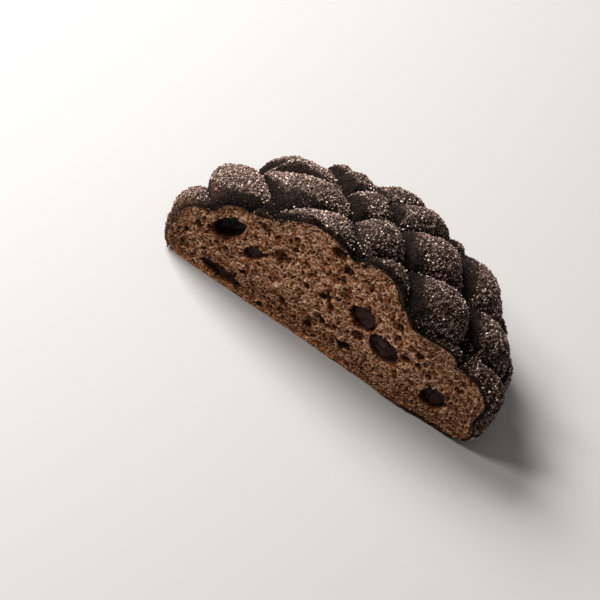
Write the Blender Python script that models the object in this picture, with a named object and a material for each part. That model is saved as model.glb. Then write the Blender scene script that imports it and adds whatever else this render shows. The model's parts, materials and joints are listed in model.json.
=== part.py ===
"""Half of a cut cocoa melon pan: a flat-bottomed dome of bread crumb under a scored biscuit crust.

The whole bun is a dome of revolution about a vertical axis. The half keeps what lies behind the cut, whose
face looks along -Y; X runs along the cut and the base rests on z = 0. The biscuit crust is scored by two
families of grooves into pillows. Chocolate chips sit in pockets that open at the cut.

Points on the dome are given in flat coordinates, as if the crust were peeled off and laid out round its
top: the distance from the middle is the distance along the dome, and the direction is the compass
direction. Lengths are in millimetres, and become metres when a mesh is made.
"""

import itertools
import math

import bmesh
import bpy
import numpy as np
from mathutils import Matrix, Vector
from mathutils.geometry import delaunay_2d_cdt

METRES = 0.001

# The whole bun, before it was cut.
BUN_RADIUS = 55.6
BUN_HEIGHT = 43.6
WIDEST_AT = 15.5
FOOT_RADIUS = 47.9
UPPER_ROUNDNESS = 1.667
LOWER_ROUNDNESS = 2.125
# The part's origin, seen from the bun's axis: the middle of the half's own box.
ORIGIN = (-0.21, 26.56)

# The scored biscuit crust.
PILLOW_RISE = 0.8
GROOVE_DEPTH = 6.2
PILLOW_SQUARENESS = 2.5
CRUST_AT_GROOVE = 1.2
CRUST_AT_PILLOW = 3.3
THICKER_TO_RIGHT = 0.016
CRUST_AT_RIM = 1.2
RIM_TAPER = 10.0
CRUST_RIM_HEIGHT = 0.9
BASE_RADIUS = 47.4
SMOOTH_FROM = 64.0
SMOOTH_TO = 78.0

# One groove: heading in degrees, offset from the middle, sideways bow at 50 mm, and where it starts and
# ends along its own length. An endless groove runs to the rim.
ENDLESS = 1000.0
ROWS = (
    (34, -40.0, 0.0, -ENDLESS, ENDLESS),
    (25, -14.3, 0.5, -ENDLESS, ENDLESS),
    (32, 0.0, -1.0, -ENDLESS, ENDLESS),
    (35, 15.3, 16.0, -ENDLESS, ENDLESS),
    (35, 31.0, 18.0, -4.0, ENDLESS),
    (-6, 21.5, 0.0, -42.0, -19.0),
    (35, 48.0, 20.0, -30.0, ENDLESS),
    (35, 66.0, 20.0, -ENDLESS, ENDLESS),
)
COLUMNS = (
    (123, 66.0, 0.0, -ENDLESS, ENDLESS),
    (123, 43.0, 0.0, -ENDLESS, ENDLESS),
    (124, 23.5, 0.0, -ENDLESS, ENDLESS),
    (122, 0.8, 0.0, -ENDLESS, ENDLESS),
    (128, -15.5, 0.0, -ENDLESS, ENDLESS),
    (121, -38.0, -5.0, -ENDLESS, ENDLESS),
    (123, -60.0, -6.0, -ENDLESS, ENDLESS),
    (123, -80.0, 0.0, -ENDLESS, ENDLESS),
)
FADE_LENGTH = 9.0
BOW_SPAN = 50.0
WIDEST_CELL = 30.0

# The cut: the face stands a little forward where it followed a groove, and the crust sags at its edge.
FORWARD = 3.0
FORWARD_AT = 27.0
FORWARD_WIDTH = 8.0
FORWARD_AT_BASE = 0.3
SAG = 0.8
SAG_GROOVE = 3.0
SAG_GROOVE_AT = 31.0
SAG_GROOVE_WIDTH = 9.0
SAG_TOP = 0.8
SAG_TOP_AT = 8.0
SAG_TOP_WIDTH = 16.0
SAG_REACH = 4.5
SAG_STEEPNESS = 1.5

# Chips: middle along the cut, height, half length, half thickness, tilt in degrees, how far the front of
# the chip lies behind the cut.
GAP = 0.3
CHIPS = (
    (-36.7, 20.3, 5.4, 2.6, 38.0, 1.8),
    (-27.2, 16.2, 3.0, 1.7, 35.0, 0.5),
    (-33.5, 3.4, 6.4, 1.2, -3.0, 0.6),
    (9.7, 19.7, 4.1, 2.9, -22.0, 0.6),
    (18.9, 14.8, 4.8, 3.2, -3.0, 0.9),
    (37.9, 9.4, 3.6, 2.9, -20.0, 0.5),
)
CHIP_CENTRE_BEHIND = 1.6
CHIP_HALF_DEPTH = 3.6
POCKET_ROOM = 0.5

# Spacing of the mesh points.
ALONG_GROOVE = 3.2
BESIDE_GROOVE = (1.1, 3.2)
PILLOW_POINTS = 4.0
INNER_POINTS = 5.5
CUT_POINTS = 2.4
RIM_POINTS = 4.5
FACE_POINTS = 9.0
FACE_ROOM = 3.0
EDGE_ROOM = 0.8
RIM_MARGIN = 3.0
CROSSING_ROOM = 0.9
BESIDE_ROOM = 0.75
FILL_ROOM = 0.65
MERGE_WITHIN = 1e-5
BASE_LINE_POINTS = 24
MERIDIAN_STEPS = 400
LUMP_SEGMENTS = 14
LUMP_RINGS = 9
SHARP_OVER = 50.0
INSIDE_LINKS = 1


def meridian():
    """Distance along the dome from its top, with the radius and height there: two superellipse quarters."""
    upper = np.linspace(math.pi / 2, 0, MERIDIAN_STEPS)
    lower = np.linspace(0, math.pi / 2, MERIDIAN_STEPS // 3)[1:]
    above = BUN_HEIGHT - WIDEST_AT
    beyond = BUN_RADIUS - FOOT_RADIUS
    radius = np.concatenate((
        BUN_RADIUS * np.cos(upper) ** (2 / UPPER_ROUNDNESS),
        FOOT_RADIUS + beyond * np.cos(lower) ** (2 / LOWER_ROUNDNESS),
    ))
    height = np.concatenate((
        WIDEST_AT + above * np.sin(upper) ** (2 / UPPER_ROUNDNESS),
        WIDEST_AT * (1 - np.sin(lower) ** (2 / LOWER_ROUNDNESS)),
    ))
    along = np.concatenate(((0,), np.cumsum(np.hypot(np.diff(radius), np.diff(height)))))
    return along, radius, height


ALONG, RADIUS, HEIGHT = meridian()
RADIUS_SLOPE = np.gradient(RADIUS, ALONG)
HEIGHT_SLOPE = np.gradient(HEIGHT, ALONG)
RIM = float(np.interp(-CRUST_RIM_HEIGHT, -HEIGHT, ALONG))


def smooth_step(start, end, value):
    """0 before start, 1 after end, and an S curve between them."""
    share = np.clip((value - start) / (end - start), 0, 1)
    return share * share * (3 - 2 * share)


def bell(value, middle, width):
    """1 at the middle, falling to nothing on both sides."""
    return np.exp(-(((value - middle) / width) ** 2))


def lift(flat, offset):
    """The points on the dome above flat coordinates, moved out along the dome's normal by the offset."""
    along = np.hypot(flat[:, 0], flat[:, 1])
    compass = np.arctan2(flat[:, 1], flat[:, 0])
    outward = -np.interp(along, ALONG, HEIGHT_SLOPE)
    upward = np.interp(along, ALONG, RADIUS_SLOPE)
    radius = np.interp(along, ALONG, RADIUS) + offset * outward
    height = np.interp(along, ALONG, HEIGHT) + offset * upward
    return np.stack((radius * np.cos(compass), radius * np.sin(compass), height), axis=1)


def groove_at(flat, groove):
    """Signed distance from a bowed groove, positive on its left, and how present it is: 0 past its ends."""
    heading, offset, bow, start, end = groove
    turn = math.radians(heading)
    forward = math.cos(turn) * flat[:, 0] + math.sin(turn) * flat[:, 1]
    sideways = math.cos(turn) * flat[:, 1] - math.sin(turn) * flat[:, 0]
    slope = 2 * bow * forward / BOW_SPAN**2
    distance = (sideways - offset - bow * (forward / BOW_SPAN) ** 2) / np.sqrt(1 + slope * slope)
    half = FADE_LENGTH / 2
    present = smooth_step(start - half, start + half, forward)
    return distance, present * (1 - smooth_step(end - half, end + half, forward))


def between(distances):
    """0 at the grooves and 1 halfway between them, along a superellipse."""
    left = np.where(distances >= 0, distances, WIDEST_CELL).min(axis=0)
    right = np.where(distances < 0, -distances, WIDEST_CELL).min(axis=0)
    across = np.abs(left - right) / (left + right)
    return (1 - across**PILLOW_SQUARENESS) ** (1 / PILLOW_SQUARENESS)


def bulge(flat, grooves):
    """The form between one family of grooves: a blend of the forms with and without each short groove."""
    distances, present = np.moveaxis(np.array([groove_at(flat, groove) for groove in grooves]), 1, 0)
    short = [number for number, groove in enumerate(grooves) if groove[3:] != (-ENDLESS, ENDLESS)]
    counted = np.full(len(grooves), True)
    form = np.zeros(len(flat))
    for choice in itertools.product((True, False), repeat=len(short)):
        counted[short] = choice
        shares = [present[n] if taken else 1 - present[n] for n, taken in zip(short, choice)]
        form += np.prod(shares, axis=0) * between(distances[counted])
    return form


def cut_line(x):
    """Where the cut runs in flat coordinates."""
    return -FORWARD * bell(x, FORWARD_AT, FORWARD_WIDTH)


def sag(flat):
    """How far the crust sinks near the cut."""
    x = flat[:, 0]
    behind = np.maximum(flat[:, 1] - cut_line(x), 0)
    most = SAG + SAG_GROOVE * bell(x, SAG_GROOVE_AT, SAG_GROOVE_WIDTH)
    most = most + SAG_TOP * bell(x, SAG_TOP_AT, SAG_TOP_WIDTH)
    return most * np.exp(-((behind / SAG_REACH) ** SAG_STEEPNESS))


def crust_offsets(flat):
    """Offsets from the dome of the crust's outer face and of its inner face."""
    pillow = bulge(flat, ROWS) * bulge(flat, COLUMNS)
    along = np.hypot(flat[:, 0], flat[:, 1])
    relief = 1 - smooth_step(SMOOTH_FROM, SMOOTH_TO, along)
    outer = PILLOW_RISE - (GROOVE_DEPTH * (1 - pillow) + sag(flat)) * relief
    pillow = 1 - (1 - pillow) * relief
    thickness = CRUST_AT_PILLOW + THICKER_TO_RIGHT * flat[:, 0]
    thickness = CRUST_AT_GROOVE + (thickness - CRUST_AT_GROOVE) * pillow
    thickness = thickness + (CRUST_AT_RIM - thickness) * smooth_step(RIM - RIM_TAPER, RIM, along)
    return outer, outer - thickness


def groove_line(groove, spacing, beside=0.0):
    """Points along a groove, or along a line beside it, where the groove hasn't faded out."""
    heading, offset, bow, start, end = groove
    turn = math.radians(heading)
    forward = np.arange(max(start, -RIM), min(end, RIM), spacing)
    sideways = offset + beside + bow * (forward / BOW_SPAN) ** 2
    x = math.cos(turn) * forward - math.sin(turn) * sideways
    y = math.sin(turn) * forward + math.cos(turn) * sideways
    return np.stack((x, y), axis=1)


def clear_of_edge(flat, margin):
    """Which points lie behind the cut and within the rim, clear of both by the margin."""
    within = np.hypot(flat[:, 0], flat[:, 1]) < RIM - margin
    return within & (flat[:, 1] > cut_line(flat[:, 0]) + margin)


def outline():
    """The crust's outline in flat coordinates: along the cut, then round the rim."""
    x = np.linspace(-RIM, RIM, round(2 * RIM / CUT_POINTS))
    cut = np.stack((x, cut_line(x)), axis=1)
    cut[0, 1] = cut[-1, 1] = 0
    compass = np.linspace(0, math.pi, round(math.pi * RIM / RIM_POINTS))[1:-1]
    rim = RIM * np.stack((np.cos(compass), np.sin(compass)), axis=1)
    return np.concatenate((cut, rim))


def honeycomb(low, high, spacing):
    """Points in offset rows over a rectangle."""
    rows = []
    for number, y in enumerate(np.arange(low[1], high[1], spacing * math.sqrt(3) / 2)):
        x = np.arange(low[0], high[0], spacing) + spacing / 2 * (number % 2)
        rows.append(np.stack((x, np.full(len(x), y)), axis=1))
    return np.concatenate(rows)


def uncrowded(kept, points, room):
    """The kept points, with those of the others that find room between them."""
    for point in points:
        if np.min(np.hypot(*(kept - point).T)) > room:
            kept = np.append(kept, (point,), axis=0)
    return kept


def triangulate(points, links):
    """Delaunay triangles inside the links, as an array of points and a list of counterclockwise faces."""
    corners = [Vector(point) for point in points]
    found = delaunay_2d_cdt(corners, links, [], INSIDE_LINKS, MERGE_WITHIN)
    used = sorted({corner for face in found[2] for corner in face})
    place = {corner: number for number, corner in enumerate(used)}
    faces = [tuple(place[corner] for corner in face) for face in found[2]]
    return np.array([found[0][corner][:] for corner in used]), faces


def chain(first, count, closed):
    """Links between neighbouring points of a row that starts at the given number."""
    links = [(first + step, first + step + 1) for step in range(count - 1)]
    return links + [(first + count - 1, first)] if closed else links


def crust_net(fill_spacing, beside):
    """Triangles over the crust in flat coordinates, with an edge along every groove."""
    points = outline()
    links = chain(0, len(points), True)
    for groove in ROWS + COLUMNS:
        line = groove_line(groove, ALONG_GROOVE)
        near = line[:, 1] > cut_line(line[:, 0]) - ALONG_GROOVE
        line = line[near & (np.hypot(line[:, 0], line[:, 1]) < RIM - RIM_MARGIN)]
        clear = [np.min(np.hypot(*(points - point).T)) > CROSSING_ROOM for point in line]
        line = line[clear]
        links += chain(len(points), len(line), False)
        points = np.concatenate((points, line))
    for distance in beside:
        for side in (distance, -distance):
            for groove in ROWS + COLUMNS:
                line = groove_line(groove, ALONG_GROOVE, side)
                line = line[clear_of_edge(line, EDGE_ROOM)]
                points = uncrowded(points, line, BESIDE_ROOM * distance)
    fill = honeycomb((-RIM, -FORWARD), (RIM, RIM), fill_spacing)
    points = uncrowded(points, fill[clear_of_edge(fill, EDGE_ROOM)], FILL_ROOM * fill_spacing)
    return triangulate(points, links)


def border(points, faces):
    """The net's border, counterclockwise from its corner at -X."""
    steps = {(a, b) for face in faces for a, b in zip(face, face[1:] + face[:1])}
    after = {a: b for a, b in steps if (b, a) not in steps}
    loop = [min(after, key=lambda corner: points[corner][0])]
    while len(loop) < len(after):
        loop.append(after[loop[-1]])
    return loop


def strip(upper, lower):
    """Quads from one row of corners to the row below it."""
    pairs = zip(zip(upper, lower), zip(upper[1:], lower[1:]))
    return [(b, a, below_a, below_b) for (a, below_a), (b, below_b) in pairs]


def face_depth(x, z):
    """The cut face's y: it comes forward at one place, less towards the base."""
    return cut_line(x) * (FORWARD_AT_BASE + (1 - FORWARD_AT_BASE) * z / BUN_HEIGHT)


def material(name, colour, roughness):
    made = bpy.data.materials.new(name)
    made.use_nodes = True
    shader = made.node_tree.nodes["Principled BSDF"]
    shader.inputs["Base Color"].default_value = (*colour, 1)
    shader.inputs["Roughness"].default_value = roughness
    shader.inputs["Metallic"].default_value = 0
    return made


def add_object(name, mesh, finish=None):
    """An object of the mesh, moved from the bun's axis to the part's origin."""
    mesh.transform(Matrix.Translation((-ORIGIN[0] * METRES, -ORIGIN[1] * METRES, 0)))
    if finish:
        mesh.materials.append(finish)
    made = bpy.data.objects.new(name, mesh)
    bpy.context.scene.collection.objects.link(made)
    return made


def finish_mesh(mesh):
    """From millimetres to metres, shaded smooth except over sharp edges."""
    mesh.transform(Matrix.Scale(METRES, 4))
    mesh.shade_smooth()
    mesh.set_sharp_from_angle(angle=math.radians(SHARP_OVER))


def mesh_of(name, points, faces):
    mesh = bpy.data.meshes.new(name)
    mesh.from_pydata(np.asarray(points).tolist(), [], faces)
    finish_mesh(mesh)
    return mesh


def biscuit_crust(outer_net, inner_net, finish):
    """The shell between the pillowed outer face and the inner face, closed by a wall round its edge."""
    outer_flat, outer_faces = outer_net
    inner_flat, inner_faces = inner_net
    outside = lift(outer_flat, crust_offsets(outer_flat)[0])
    under = lift(inner_flat, crust_offsets(inner_flat)[1])
    first = len(outside)
    upper = border(outer_flat, outer_faces)
    lower = [corner + first for corner in border(inner_flat, inner_faces)]
    faces = list(outer_faces)
    faces += [tuple(corner + first for corner in reversed(face)) for face in inner_faces]
    faces += strip(upper + upper[:1], lower + lower[:1])
    points = np.concatenate((outside, under))
    return add_object("biscuit_crust", mesh_of("biscuit_crust", points, faces), finish)


def crumb(inner_net, finish):
    """The bread: the crust's inner form less a gap, closed by a side below the rim, the base and the cut."""
    flat, faces = inner_net
    top = lift(flat, crust_offsets(flat)[1] - GAP)
    loop = border(flat, faces)
    right = int(np.argmax(flat[loop, 0]))
    cut_edge = loop[: right + 1]
    rim_edge = loop[right:] + loop[:1]

    compass = np.arctan2(flat[rim_edge, 1], flat[rim_edge, 0])
    foot = BASE_RADIUS * np.stack((np.cos(compass), np.sin(compass), 0 * compass), axis=1)
    x = np.linspace(-BASE_RADIUS, BASE_RADIUS, BASE_LINE_POINTS)[1:-1]
    base_line = np.stack((x, face_depth(x, 0), 0 * x), axis=1)
    foot_row = list(range(len(top), len(top) + len(foot)))
    line_row = list(range(foot_row[-1] + 1, foot_row[-1] + 1 + len(base_line)))

    points = np.concatenate((top, foot, base_line))
    loop = [foot_row[-1]] + line_row + [foot_row[0]] + cut_edge[::-1]
    face_points, face_faces = triangulate(*face_net(points[loop][:, (0, 2)]))
    fresh = face_points[len(loop):]
    fresh = np.stack((fresh[:, 0], face_depth(fresh[:, 0], fresh[:, 1]), fresh[:, 1]), axis=1)
    number = loop + list(range(len(points), len(points) + len(fresh)))
    points = np.concatenate((points, fresh))

    faces = faces + strip(rim_edge, foot_row)
    faces.append(tuple(foot_row[::-1] + line_row[::-1]))
    faces += [tuple(number[corner] for corner in face) for face in face_faces]
    return add_object("crumb", mesh_of("crumb", points, faces), finish)


def face_net(loop):
    """The points and links to triangulate over the cut face, inside a loop of x and z."""
    fill = honeycomb(loop.min(axis=0), loop.max(axis=0), FACE_POINTS)
    points = uncrowded(loop, fill, FACE_ROOM)
    return points, chain(0, len(loop), True)


def lump(name, chip, room, finish=None):
    """An ellipsoid at a chip's place, larger than it by the room given."""
    x, z, half_length, half_thickness, tilt, _ = chip
    made = bmesh.new()
    bmesh.ops.create_uvsphere(made, u_segments=LUMP_SEGMENTS, v_segments=LUMP_RINGS, radius=1)
    size = (half_length + room, CHIP_HALF_DEPTH + room, half_thickness + room)
    place = Matrix.Translation((x, face_depth(x, z) + CHIP_CENTRE_BEHIND, z))
    turn = Matrix.Rotation(math.radians(-tilt), 4, "Y")
    made.transform(place @ turn @ Matrix.Diagonal((*size, 1)))
    mesh = bpy.data.meshes.new(name)
    made.to_mesh(mesh)
    made.free()
    return mesh


def slice_front(mesh, depth):
    """Cuts off what lies in front of the given y, and closes the cut."""
    made = bmesh.new()
    made.from_mesh(mesh)
    parts = made.verts[:] + made.edges[:] + made.faces[:]
    cut = bmesh.ops.bisect_plane(
        made, geom=parts, plane_co=(0, depth, 0), plane_no=(0, -1, 0), clear_outer=True
    )
    edges = [part for part in cut["geom_cut"] if isinstance(part, bmesh.types.BMEdge)]
    bmesh.ops.holes_fill(made, edges=edges, sides=0)
    bmesh.ops.recalc_face_normals(made, faces=made.faces[:])
    made.to_mesh(mesh)
    made.free()


def chip_and_pocket(number, chip, bread, finish):
    """A chip cut flat a little behind the face, and the pocket it sits in."""
    depth = face_depth(chip[0], chip[1])
    mesh = lump(f"chip_{number}", chip, 0)
    slice_front(mesh, depth + chip[5])
    finish_mesh(mesh)
    add_object(f"chip_{number}", mesh, finish)

    pocket_mesh = lump(f"pocket_{number}", chip, POCKET_ROOM)
    finish_mesh(pocket_mesh)
    pocket = add_object(f"pocket_{number}", pocket_mesh)
    pocket.hide_render = True
    pocket.display_type = "WIRE"
    hollow = bread.modifiers.new(f"pocket {number}", "BOOLEAN")
    hollow.operation = "DIFFERENCE"
    hollow.object = pocket


def main():
    for thing in list(bpy.data.objects):
        bpy.data.objects.remove(thing, do_unlink=True)
    outer_net = crust_net(PILLOW_POINTS, BESIDE_GROOVE)
    inner_net = crust_net(INNER_POINTS, ())
    biscuit_crust(outer_net, inner_net, material("cocoa biscuit", (0.075, 0.050, 0.042), 0.85))
    bread = crumb(inner_net, material("cocoa crumb", (0.140, 0.066, 0.038), 0.9))
    chocolate = material("dark chocolate", (0.020, 0.011, 0.010), 0.4)
    for number, chip in enumerate(CHIPS, start=1):
        chip_and_pocket(number, chip, bread, chocolate)


main()
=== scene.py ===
# %% [markdown]
# # Half of a cocoa melon pan, cut open
# A melon pan is a soft bun baked under a sheet of biscuit dough. The dough is scored in two directions,
# and as the bun rises it opens into pillows with deep grooves between them. This lesson dresses one half
# of such a bun: the granular biscuit crust, the open crumb of the cut face, the chocolate chips in their
# pockets, and the sugar that sparkles on the pillows.
#
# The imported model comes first. It is the fixed frame: everything made here stands where its solids stand.

# %% Load the frame and measure it
import itertools
import json
import math

import bmesh
import bpy
import numpy as np
from mathutils import Matrix, Vector

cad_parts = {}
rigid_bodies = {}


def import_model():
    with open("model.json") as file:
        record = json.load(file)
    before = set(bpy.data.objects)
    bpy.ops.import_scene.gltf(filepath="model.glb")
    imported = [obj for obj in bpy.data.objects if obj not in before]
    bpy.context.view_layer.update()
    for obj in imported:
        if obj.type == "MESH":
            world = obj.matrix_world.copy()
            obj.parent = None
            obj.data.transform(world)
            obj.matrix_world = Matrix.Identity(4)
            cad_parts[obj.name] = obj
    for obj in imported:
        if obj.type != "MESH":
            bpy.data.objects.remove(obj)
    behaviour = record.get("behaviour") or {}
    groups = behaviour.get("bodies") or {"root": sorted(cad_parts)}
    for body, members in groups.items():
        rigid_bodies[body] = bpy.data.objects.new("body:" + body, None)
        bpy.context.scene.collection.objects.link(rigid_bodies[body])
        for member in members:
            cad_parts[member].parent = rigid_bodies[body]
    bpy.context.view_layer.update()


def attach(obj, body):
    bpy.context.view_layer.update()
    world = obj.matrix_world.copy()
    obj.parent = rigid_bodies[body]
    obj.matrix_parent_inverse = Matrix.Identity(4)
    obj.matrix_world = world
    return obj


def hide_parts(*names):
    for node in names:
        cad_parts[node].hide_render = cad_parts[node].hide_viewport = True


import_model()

# %% [markdown]
# ## Millimetres round the bun's own axis
# A bun is easiest to describe round the axis it was shaped on, in millimetres. That axis stands in front
# of the frame's origin, because only the half behind the cut is left. One helper takes finished points
# from there into the frame, so that no object has to be moved afterwards.

# %% From the bun's axis to the frame
MM = 0.001
BUN_AXIS = np.array((0.21, -26.56, 0.0))
SEED = 20

# Towards each end of the cut: where the lift starts, the length over which it would grow to its full
# height, and that height. The bun ends before that: its own corners are lifted by less than 2 mm.
RIGHT_CORNER = (38.0, 19.0, 3.0)
LEFT_CORNER = (42.0, 15.0, 1.3)
CORNER_HEIGHT = 13.0


def settle(points):
    """Lifts the bottom corners at the two ends, where the dough baked clear of the tray: the square of the
    share of the way to the end, times the share of the height that is left below CORNER_HEIGHT."""
    lifted = points.copy()
    low = np.clip(1 - points[:, 2] / CORNER_HEIGHT, 0, 1)
    for side, (start, length, rise) in ((1, RIGHT_CORNER), (-1, LEFT_CORNER)):
        lifted[:, 2] += rise * np.clip((side * points[:, 0] - start) / length, 0, 1) ** 2 * low
    return lifted


def to_frame(points):
    """Points round the bun's axis, in millimetres, become points of the frame, in metres."""
    return (settle(np.asarray(points, float).reshape(-1, 3)) + BUN_AXIS) * MM


def add_piece(name, points, faces, slot, nodes=(), smooth=True, **attributes):
    """A mesh object that rides on the bun, with one number for each point under each attribute's name."""
    mesh = bpy.data.meshes.new(name)
    mesh.from_pydata(to_frame(points), [], faces)
    for title, values in attributes.items():
        mesh.attributes.new(title, "FLOAT", "POINT").data.foreach_set("value", np.ravel(values))
    mesh.polygons.foreach_set("use_smooth", np.full(len(mesh.polygons), smooth))
    piece = bpy.data.objects.new(name, mesh)
    bpy.context.scene.collection.objects.link(piece)
    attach(piece, "root")
    if nodes:
        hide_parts(*nodes)
    print(f"{name}: {len(mesh.vertices)} points, {len(faces) * (faces.shape[1] - 2)} triangles")
    return piece


# %% [markdown]
# ## The dome
# The uncut bun is a dome of revolution. Its side view is two quarter superellipses that meet where the
# bun is widest: a superellipse is an ellipse whose exponent isn't 2, here a little less, so the
# shoulders are fuller than a cone's and slacker than a ball's.
#
# Points on the crust are named by flat coordinates, as if it were peeled off and laid out round its top:
# the distance from the middle is the distance along the dome, and the direction is the compass direction.

# %% The dome's side view
BUN_RADIUS = 55.6
BUN_HEIGHT = 43.6
WIDEST_AT = 15.5
FOOT_RADIUS = 47.9
UPPER_ROUNDNESS = 1.667
LOWER_ROUNDNESS = 2.125
CRUST_RIM_HEIGHT = 0.9
BASE_RADIUS = 47.4


def meridian(steps=400):
    """Distance along the dome, radius and height. Above the widest place the radius is R·cos(t)^(2/n) and
    the height rises by h·sin(t)^(2/n); below it the same curve runs in to the foot."""
    upper = np.linspace(math.pi / 2, 0, steps)
    lower = np.linspace(0, math.pi / 2, steps // 3)[1:]
    radius = np.concatenate((
        BUN_RADIUS * np.cos(upper) ** (2 / UPPER_ROUNDNESS),
        FOOT_RADIUS + (BUN_RADIUS - FOOT_RADIUS) * np.cos(lower) ** (2 / LOWER_ROUNDNESS),
    ))
    height = np.concatenate((
        WIDEST_AT + (BUN_HEIGHT - WIDEST_AT) * np.sin(upper) ** (2 / UPPER_ROUNDNESS),
        WIDEST_AT * (1 - np.sin(lower) ** (2 / LOWER_ROUNDNESS)),
    ))
    along = np.concatenate(((0,), np.cumsum(np.hypot(np.diff(radius), np.diff(height)))))
    return along, radius, height


ALONG, RADIUS, HEIGHT = meridian()
RADIUS_SLOPE = np.gradient(RADIUS, ALONG)
HEIGHT_SLOPE = np.gradient(HEIGHT, ALONG)
RIM = float(np.interp(-CRUST_RIM_HEIGHT, -HEIGHT, ALONG))
print(f"the dome is {RIM:.1f} mm from its top to the crust's rim")


def polar(flat):
    """Flat coordinates as the distance from the top along the dome, and the compass direction in radians."""
    return np.linalg.norm(flat, axis=-1), np.arctan2(flat[..., 1], flat[..., 0])


def dome_normal(flat):
    """The dome's outward direction above flat coordinates: its side view's normal, turned to the compass."""
    along, compass = polar(flat)
    outward = -np.interp(along, ALONG, HEIGHT_SLOPE)
    upward = np.interp(along, ALONG, RADIUS_SLOPE)
    return np.stack((outward * np.cos(compass), outward * np.sin(compass), upward), axis=-1)


def lift(flat, offset):
    """The points on the dome above flat coordinates, moved out along its normal by the offset."""
    along, compass = polar(flat)
    radius = np.interp(along, ALONG, RADIUS)
    height = np.interp(along, ALONG, HEIGHT)
    foot = np.stack((radius * np.cos(compass), radius * np.sin(compass), height), axis=-1)
    return foot + dome_normal(flat) * np.asarray(offset)[..., None]


# %% [markdown]
# ## Scored pillows
# The grooves run in two families that cross. Between two neighbours of a family the biscuit bulges along
# a superellipse, flat on top and steep at the groove, and the product of both families gives pillows.
# Some grooves are short, so the form without them is blended into the form with them past their ends.

# %% The two families of grooves
ENDLESS = 1000.0
ROWS = (
    (34, -40.0, 0.0, -ENDLESS, ENDLESS),
    (25, -14.3, 0.5, -ENDLESS, ENDLESS),
    (32, 0.0, -1.0, -ENDLESS, ENDLESS),
    (35, 15.3, 16.0, -ENDLESS, ENDLESS),
    (35, 31.0, 18.0, -4.0, ENDLESS),
    (-6, 21.5, 0.0, -42.0, -19.0),
    (35, 48.0, 20.0, -30.0, ENDLESS),
    (35, 66.0, 20.0, -ENDLESS, ENDLESS),
)
COLUMNS = (
    (123, 66.0, 0.0, -ENDLESS, ENDLESS),
    (123, 43.0, 0.0, -ENDLESS, ENDLESS),
    (124, 23.5, 0.0, -ENDLESS, ENDLESS),
    (122, 0.8, 0.0, -ENDLESS, ENDLESS),
    (128, -15.5, 0.0, -ENDLESS, ENDLESS),
    (121, -38.0, -5.0, -ENDLESS, ENDLESS),
    (123, -60.0, -6.0, -ENDLESS, ENDLESS),
    (123, -80.0, 0.0, -ENDLESS, ENDLESS),
)
PILLOW_RISE = 0.8
GROOVE_DEPTH = 6.2
PILLOW_SQUARENESS = 2.15
FADE_LENGTH = 9.0
BOW_SPAN = 50.0
WIDEST_CELL = 30.0
SMOOTH_FROM = 64.0
SMOOTH_TO = 78.0


def smooth_step(start, end, value):
    """0 before start, 1 after end, and the S curve 3t² - 2t³ between them."""
    share = np.clip((value - start) / (end - start), 0, 1)
    return share * share * (3 - 2 * share)


def bell(value, middle, width):
    """The bell curve exp(-t²): 1 at the middle, nothing far away."""
    return np.exp(-(((value - middle) / width) ** 2))


def groove_at(flat, groove):
    """Signed distance from a groove bowed like a parabola, and how present it is: 0 past its ends."""
    heading, offset, bow, start, end = groove
    turn = math.radians(heading)
    forward = math.cos(turn) * flat[..., 0] + math.sin(turn) * flat[..., 1]
    sideways = math.cos(turn) * flat[..., 1] - math.sin(turn) * flat[..., 0]
    slope = 2 * bow * forward / BOW_SPAN**2
    distance = (sideways - offset - bow * (forward / BOW_SPAN) ** 2) / np.sqrt(1 + slope * slope)
    half = FADE_LENGTH / 2
    present = smooth_step(start - half, start + half, forward)
    return distance, present * (1 - smooth_step(end - half, end + half, forward))


def between(distances):
    """The superellipse (1 - |l - r|^p / (l + r)^p)^(1/p) of the distances to the left and right grooves."""
    left = np.where(distances >= 0, distances, WIDEST_CELL).min(axis=0)
    right = np.where(distances < 0, -distances, WIDEST_CELL).min(axis=0)
    across = np.abs(left - right) / (left + right)
    return (1 - across**PILLOW_SQUARENESS) ** (1 / PILLOW_SQUARENESS)


def bulge(flat, grooves):
    """The form between one family of grooves: a blend of the forms with and without each short groove."""
    distances, present = np.moveaxis(np.array([groove_at(flat, groove) for groove in grooves]), 1, 0)
    short = [number for number, groove in enumerate(grooves) if groove[3:] != (-ENDLESS, ENDLESS)]
    counted = np.full(len(grooves), True)
    form = np.zeros(flat.shape[:-1])
    for choice in itertools.product((True, False), repeat=len(short)):
        counted[short] = choice
        shares = [present[n] if taken else 1 - present[n] for n, taken in zip(short, choice)]
        form += np.prod(shares, axis=0) * between(distances[counted])
    return form


print(f"{len(ROWS)} grooves run one way and {len(COLUMNS)} the other")


# %% [markdown]
# ## Where the knife went
# The cut isn't quite straight: where it met a groove, the face stands a few millimetres forward, and the
# crust sags a little at its cut edge. The biscuit is thick on the pillows and thin in the grooves. Sums of
# bell curves say all of this, because each bell can be placed and sized without touching the rest.

# %% The cut line, the sag beside it, and the crust's two faces
CRUST_AT_GROOVE = 1.2
CRUST_AT_PILLOW = 3.3
THICKER_TO_RIGHT = 0.016
CRUST_AT_RIM = 1.2
RIM_TAPER = 10.0
THINNER_AT_LEFT_PILLOW = 0.8
THINNER_AT_RIGHT_END = 1.2
RIGHT_END = (45.0, 62.0)
# Places along the cut are given by their middle and their half width, and the cut bulges forward at one.
LEFT_PILLOW = (-37.0, 9.0)
CUT_BULGE = 3.0
CUT_BULGE_PLACE = (27.0, 8.0)
BULGE_AT_BASE = 0.3
# The crust sinks near the cut everywhere, and more or less than that at three places: amount, and place.
SAG = 0.8
MORE_SAG = ((-0.9, LEFT_PILLOW), (3.0, (31.0, 9.0)), (0.8, (8.0, 16.0)))
SAG_LENGTH = 4.5


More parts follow.
